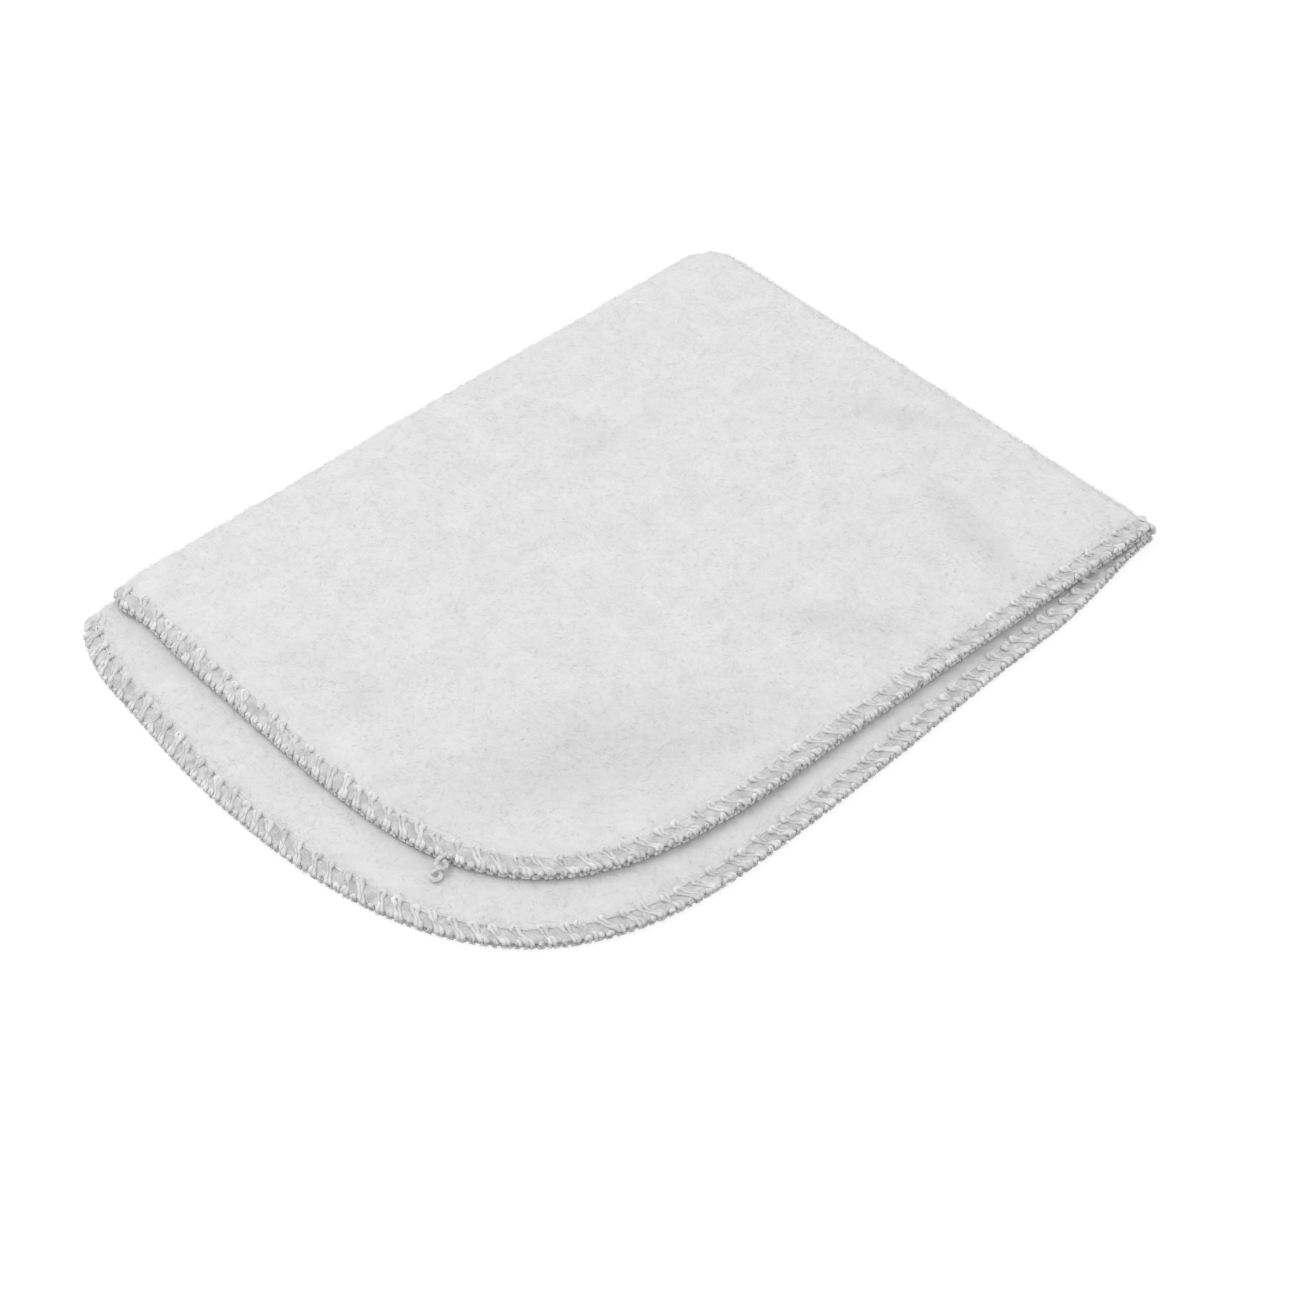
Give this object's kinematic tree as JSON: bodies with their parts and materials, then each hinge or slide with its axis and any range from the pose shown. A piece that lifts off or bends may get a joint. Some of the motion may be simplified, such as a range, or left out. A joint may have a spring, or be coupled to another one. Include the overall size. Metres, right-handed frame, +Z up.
{
  "type": "flannel cleaning cloth",
  "caption": "Soft flannel cleaning cloth with rounded corners and an overlocked edge, folded in quarters; its top half lifts and opens over the second fold.",
  "frame": {"origin": "middle of the folded cloth's footprint, on the surface that it rests on", "axes": "+Z up; +Y from the stitched front edge to the first fold; +X from the stitched side edge to the second fold, whose hinge line runs along Y"},
  "size_m": [0.1782, 0.1326, 0.0058],
  "materials": {
    "flannel": "brushed cotton flannel, off-white, matte, with a short fuzzy nap on both faces",
    "thread": "white overlock thread, softly twisted, slightly fuzzy"
  },
  "bodies": {
    "lower_half": {"flannel_lower_half": "flannel", "upper_looper_lower_half": "thread", "lower_looper_lower_half": "thread", "needle_thread_lower_half": "thread", "flannel_second_fold": "flannel", "upper_looper_outer_turn": "thread", "upper_looper_inner_turn": "thread", "lower_looper_outer_turn": "thread", "lower_looper_inner_turn": "thread", "needle_thread_outer_turn": "thread", "needle_thread_inner_turn": "thread"},
    "upper_half": {"flannel_upper_half": "flannel", "upper_looper_upper_half": "thread", "lower_looper_upper_half": "thread", "needle_thread_upper_half": "thread", "thread_tail": "thread"}
  },
  "joints": [
    {"name": "second_fold_opening", "type": "hinge", "parent": "lower_half", "child": "upper_half", "pos_m": [0.0866, 0, 0.0025], "axis": [0, 1, 0], "range_deg": [0, 180], "deforming": ["flannel_second_fold", "upper_looper_outer_turn", "upper_looper_inner_turn", "lower_looper_outer_turn", "lower_looper_inner_turn", "needle_thread_outer_turn", "needle_thread_inner_turn"]}
  ]
}
